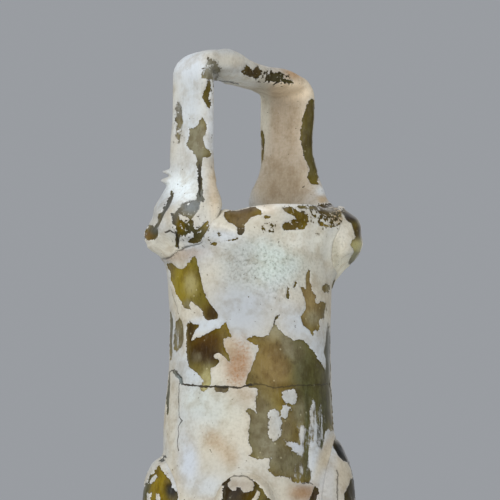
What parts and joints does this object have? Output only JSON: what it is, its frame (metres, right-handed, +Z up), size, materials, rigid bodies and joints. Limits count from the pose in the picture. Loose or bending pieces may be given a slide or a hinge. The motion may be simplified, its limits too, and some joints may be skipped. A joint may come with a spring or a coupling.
{
  "type": "glass kohl bottle",
  "caption": "Hollow glass cosmetic tube with a rolled lip, a flat-strap basket handle over the mouth and applied lugs round its lower middle.",
  "frame": {"origin": "on the tube's axis, in the plane of the flat underside", "axes": "+Z up along the tube, -Y the side that faces the viewer, +X to the viewer's right"},
  "size_m": [0.0394, 0.038, 0.1301],
  "materials": {
    "body_glass": "olive glass under a thick cream and lilac-white weathering crust, flaked off in patches",
    "handle_glass": "olive glass under a cream weathering crust, flaked off in small patches",
    "lug_glass": "dark olive glass with remains of a cream weathering crust"
  },
  "bodies": {
    "root": {"body": "body_glass", "basket_handle": "handle_glass", "lug_left": "lug_glass", "lug_front": "lug_glass", "lug_right": "lug_glass", "lug_back": "lug_glass"}
  },
  "joints": []
}
